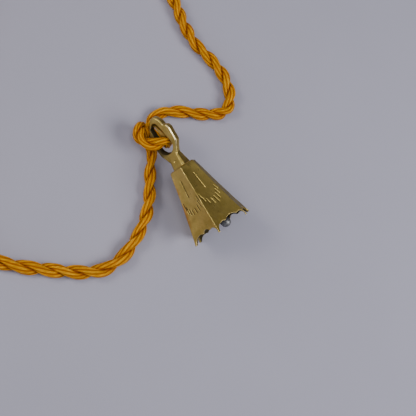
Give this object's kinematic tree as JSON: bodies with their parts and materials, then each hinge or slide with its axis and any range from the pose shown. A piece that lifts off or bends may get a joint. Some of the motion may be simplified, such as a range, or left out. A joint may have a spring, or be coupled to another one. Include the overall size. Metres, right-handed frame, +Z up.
{
  "type": "souvenir bell ornament",
  "caption": "Small cast brass bell with flat flared sides, pointed legs round its mouth, a hanging eye, a loose clapper and a twisted hanging cord.",
  "frame": {"origin": "on the surface the bell lies on, under the middle of the bell itself (cord left out)", "axes": "+X along the bell's axis towards its mouth, +Z up with one flat face of the bell on top, +Y to the side"},
  "size_m": [0.1748, 0.1414, 0.026],
  "materials": {
    "brass": "filed and hand-rubbed, lightly tarnished",
    "steel_wire": "plain drawn wire",
    "clapper_iron": "dull grey, worn bright at the end",
    "cord": "twisted two-strand cord of shiny yarn",
    "thread": "close turns of thin thread"
  },
  "bodies": {
    "bell": {"bell_casting": "brass", "clapper_staple": "steel_wire", "ring_knot": "cord", "cord_tail_left": "cord", "cord_tail_right": "cord", "end_binding": "thread", "cord_ends": "cord"},
    "link": {"clapper_link": "steel_wire"},
    "clapper": {"clapper_shank": "steel_wire", "clapper_ball": "clapper_iron"}
  },
  "joints": [
    {"name": "link_swing", "type": "hinge", "parent": "bell", "child": "link", "pos_m": [0.0022, 0, 0.01299], "axis": [0, 1, 0], "range_deg": [-30, 0]},
    {"name": "clapper_swing", "type": "hinge", "parent": "link", "child": "clapper", "pos_m": [0.00548, 0, 0.01211], "axis": [0.2594, 0, 0.9658], "range_deg": [-27.9, 0]}
  ]
}
